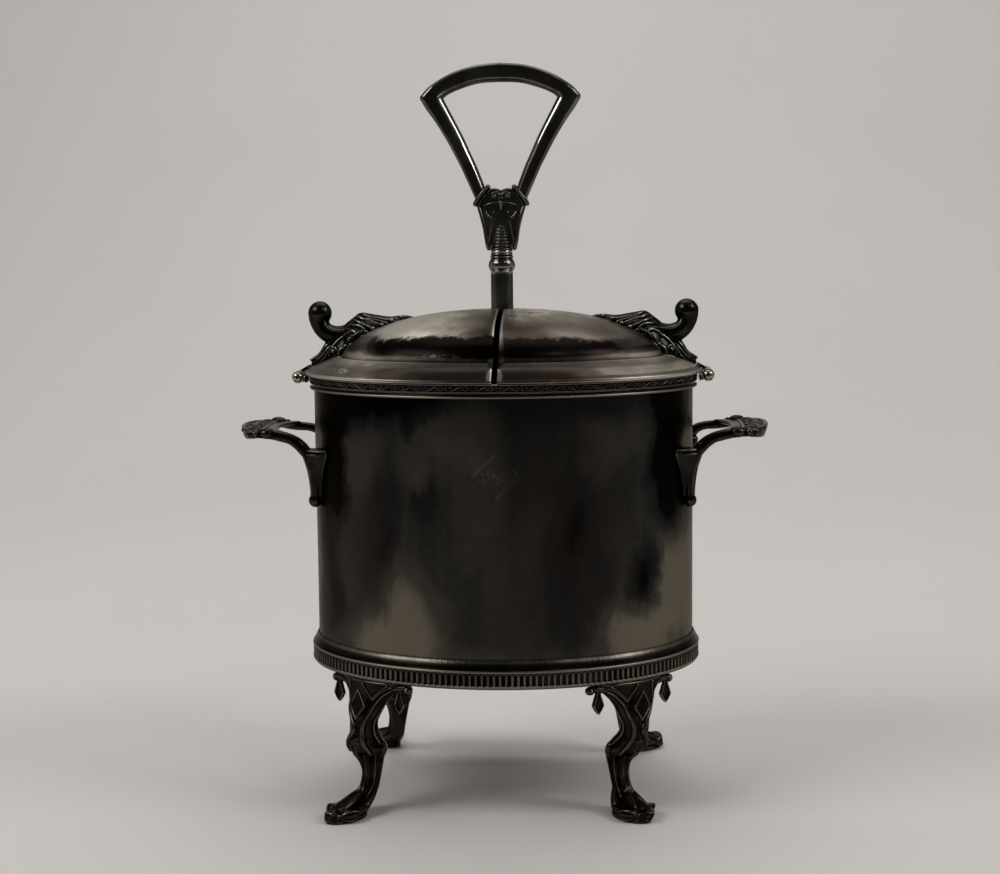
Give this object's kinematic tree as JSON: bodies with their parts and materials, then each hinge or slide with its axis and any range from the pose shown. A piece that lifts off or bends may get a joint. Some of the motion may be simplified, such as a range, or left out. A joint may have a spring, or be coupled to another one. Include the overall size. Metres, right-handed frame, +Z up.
{
  "type": "egg coddler",
  "caption": "Oval silver-plate egg coddler on paw feet, with a domed lid in hinged halves and a lift-out egg rack on a stem with a fan-shaped loop handle.",
  "frame": {"origin": "on the ground under the middle of the oval vessel, between the four paw feet", "axes": "+Z up; X along the long axis of the oval, through both side handles; -Y is the front"},
  "size_m": [0.225, 0.1306, 0.3074],
  "materials": {
    "body_silver": "heavily tarnished silver plate, smooth sheet, brown and grey patches",
    "lid_silver": "tarnished silver plate, warm taupe, rubbed paler on the crown",
    "trim_silver": "dark tarnished silver plate with rubbed edges",
    "cast_silver": "near-black tarnish on cast silver plate, coppery wear on raised edges",
    "handle_silver": "near-black glossy tarnished silver plate",
    "inner_silver": "dull grey tinned or plated metal with water stains"
  },
  "bodies": {
    "vessel": {"body_wall": "body_silver", "vessel_floor": "inner_silver", "rim_bead": "trim_silver", "rim_band": "cast_silver", "base_moulding": "trim_silver", "leg_front_left": "cast_silver", "leg_front_right": "cast_silver", "leg_back_left": "cast_silver", "leg_back_right": "cast_silver", "side_handle_left": "cast_silver", "side_handle_right": "cast_silver", "hinge_bracket_left": "cast_silver", "hinge_bracket_right": "cast_silver", "hinge_pin_left": "cast_silver", "hinge_pin_right": "cast_silver"},
    "left_lid": {"lid_left": "lid_silver", "scroll_left": "cast_silver", "lid_knuckle_left": "cast_silver"},
    "right_lid": {"lid_right": "lid_silver", "scroll_right": "cast_silver", "lid_knuckle_right": "cast_silver"},
    "rack": {"rack_stem": "handle_silver", "egg_plate": "inner_silver", "egg_rest_plate": "inner_silver", "rack_post_1": "inner_silver", "rack_post_2": "inner_silver", "rack_post_3": "inner_silver", "rack_post_4": "inner_silver", "stem_nut": "inner_silver", "stem_washer": "inner_silver", "stem_knop": "handle_silver", "handle_crotch": "handle_silver", "loop_handle": "handle_silver"}
  },
  "joints": [
    {"name": "rack_lift", "type": "slide", "parent": "vessel", "child": "rack", "axis": [0, 0, 1], "range_m": [0, 0.13]},
    {"name": "left_lid_hinge", "type": "hinge", "parent": "vessel", "child": "left_lid", "pos_m": [-0.0863, 0, 0.1771], "axis": [0, -1, 0], "range_deg": [0, 110]},
    {"name": "right_lid_hinge", "type": "hinge", "parent": "vessel", "child": "right_lid", "pos_m": [0.0863, 0, 0.1771], "axis": [0, 1, 0], "range_deg": [0, 110]}
  ],
  "couplings": [
    {"joint": "left_lid_hinge", "follows": "rack_lift", "rad_per_m": 14.76},
    {"joint": "right_lid_hinge", "follows": "rack_lift", "rad_per_m": 14.76}
  ]
}
